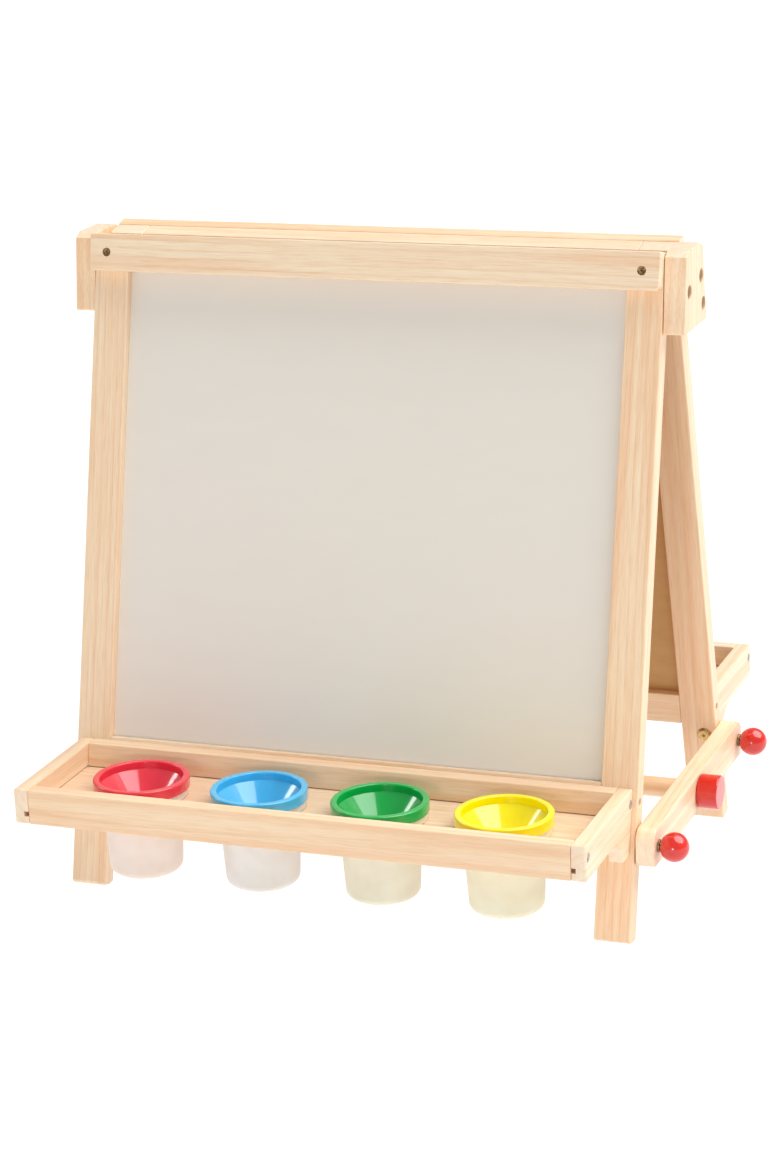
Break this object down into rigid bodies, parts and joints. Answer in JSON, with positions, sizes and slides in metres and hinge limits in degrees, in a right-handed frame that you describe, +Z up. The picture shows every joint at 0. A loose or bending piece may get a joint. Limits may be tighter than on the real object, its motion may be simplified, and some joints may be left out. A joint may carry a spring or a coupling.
{
  "type": "kids tabletop easel",
  "caption": "Two-sided wooden tabletop easel that folds at the top, with a tray on each side, spreader bars with a paper rod, ball knobs and lidded paint cups.",
  "frame": {"origin": "on the ground, midway between the two frames and between the two sides", "axes": "+X to the right seen from the front, +Y from the front tray to the rear tray, +Z up"},
  "size_m": [0.552, 0.478, 0.5148],
  "materials": {
    "pine": "planed and clear lacquered",
    "plywood": "sanded three-ply",
    "whiteboard": "hardboard with a satin dry-wipe coating",
    "chalkboard": "hardboard with a matt chalk face",
    "red_paint": "gloss painted wood",
    "zinc_steel": "bright zinc plated",
    "brass": "bright",
    "cup_plastic": "translucent natural polypropylene",
    "red_lid": "moulded",
    "blue_lid": "moulded",
    "green_lid": "moulded",
    "yellow_lid": "moulded"
  },
  "bodies": {
    "rear_frame": {"rear_stile_left": "pine", "rear_tray_end_left": "pine", "rear_stile_right": "pine", "rear_tray_end_right": "pine", "rear_top_rail": "pine", "rear_bottom_rail": "pine", "rear_cap_rail": "pine", "rear_tray_outer_board": "pine", "rear_tray_inner_board": "pine", "rear_tray_floor": "plywood", "rear_rail_screws": "zinc_steel", "rear_tray_end_screws": "zinc_steel", "rear_cup_washers": "brass", "rear_leg_inserts": "brass", "rear_cap_screws": "brass", "rear_tray_fixing_screws": "brass", "chalkboard": "chalkboard", "hinge_block_left": "pine", "hinge_block_right": "pine", "block_screws": "brass", "pivot_screws": "brass"},
    "front_frame": {"front_stile_left": "pine", "front_tray_end_left": "pine", "front_stile_right": "pine", "front_tray_end_right": "pine", "front_top_rail": "pine", "front_bottom_rail": "pine", "front_cap_rail": "pine", "front_tray_outer_board": "pine", "front_tray_inner_board": "pine", "front_tray_floor": "plywood", "front_rail_screws": "zinc_steel", "front_tray_end_screws": "zinc_steel", "front_cup_washers": "brass", "front_leg_inserts": "brass", "front_cap_screws": "brass", "front_tray_fixing_screws": "brass", "whiteboard": "whiteboard"},
    "spreader": {"spreader_left": "pine", "spreader_right": "pine", "knob_washers": "brass"},
    "paper_rod": {"rod_cap_left": "red_paint", "rod_cap_right": "red_paint", "roll_rod": "pine"},
    "front_knob_left": {"front_knob_left": "red_paint", "front_knob_stud_left": "zinc_steel"},
    "front_knob_right": {"front_knob_right": "red_paint", "front_knob_stud_right": "zinc_steel"},
    "rear_knob_left": {"rear_knob_left": "red_paint", "rear_knob_stud_left": "zinc_steel"},
    "rear_knob_right": {"rear_knob_right": "red_paint", "rear_knob_stud_right": "zinc_steel"},
    "cup_1": {"paint_cup_1": "cup_plastic"},
    "lid_1": {"cup_lid_1": "red_lid"},
    "cup_2": {"paint_cup_2": "cup_plastic"},
    "lid_2": {"cup_lid_2": "blue_lid"},
    "cup_3": {"paint_cup_3": "cup_plastic"},
    "lid_3": {"cup_lid_3": "green_lid"},
    "cup_4": {"paint_cup_4": "cup_plastic"},
    "lid_4": {"cup_lid_4": "yellow_lid"}
  },
  "joints": [
    {"name": "frame_fold", "type": "hinge", "parent": "rear_frame", "child": "front_frame", "pos_m": [0, -0.016, 0.481], "axis": [1, 0, 0], "range_deg": [0, 27.8]},
    {"name": "spreader_swing", "type": "hinge", "parent": "rear_frame", "child": "spreader", "pos_m": [0, 0.11956, 0.075], "axis": [1, 0, 0], "range_deg": [0, 103.9]},
    {"name": "paper_rod_spin", "type": "hinge", "parent": "spreader", "child": "paper_rod", "pos_m": [0, 0, 0.075], "axis": [1, 0, 0], "continuous": true},
    {"name": "rear_knob_left_turn", "type": "hinge", "parent": "rear_frame", "child": "rear_knob_left", "pos_m": [-0.264, 0.11956, 0.075], "axis": [1, 0, 0], "continuous": true},
    {"name": "front_knob_left_turn", "type": "hinge", "parent": "spreader", "child": "front_knob_left", "pos_m": [-0.264, -0.11956, 0.075], "axis": [1, 0, 0], "continuous": true},
    {"name": "rear_knob_right_turn", "type": "hinge", "parent": "rear_frame", "child": "rear_knob_right", "pos_m": [0.264, 0.11956, 0.075], "axis": [1, 0, 0], "continuous": true},
    {"name": "front_knob_right_turn", "type": "hinge", "parent": "spreader", "child": "front_knob_right", "pos_m": [0.264, -0.11956, 0.075], "axis": [1, 0, 0], "continuous": true},
    {"name": "cup_1_lift", "type": "slide", "parent": "front_frame", "child": "cup_1", "axis": [0, 0, 1], "range_m": [0, 0.12]},
    {"name": "lid_1_lift", "type": "slide", "parent": "cup_1", "child": "lid_1", "axis": [0, 0, 1], "range_m": [0, 0.05]},
    {"name": "cup_2_lift", "type": "slide", "parent": "front_frame", "child": "cup_2", "axis": [0, 0, 1], "range_m": [0, 0.12]},
    {"name": "lid_2_lift", "type": "slide", "parent": "cup_2", "child": "lid_2", "axis": [0, 0, 1], "range_m": [0, 0.05]},
    {"name": "cup_3_lift", "type": "slide", "parent": "front_frame", "child": "cup_3", "axis": [0, 0, 1], "range_m": [0, 0.12]},
    {"name": "lid_3_lift", "type": "slide", "parent": "cup_3", "child": "lid_3", "axis": [0, 0, 1], "range_m": [0, 0.05]},
    {"name": "cup_4_lift", "type": "slide", "parent": "front_frame", "child": "cup_4", "axis": [0, 0, 1], "range_m": [0, 0.12]},
    {"name": "lid_4_lift", "type": "slide", "parent": "cup_4", "child": "lid_4", "axis": [0, 0, 1], "range_m": [0, 0.05]}
  ],
  "couplings": [
    {"joint": "spreader_swing", "follows": "frame_fold", "ratio": 3.7373}
  ]
}
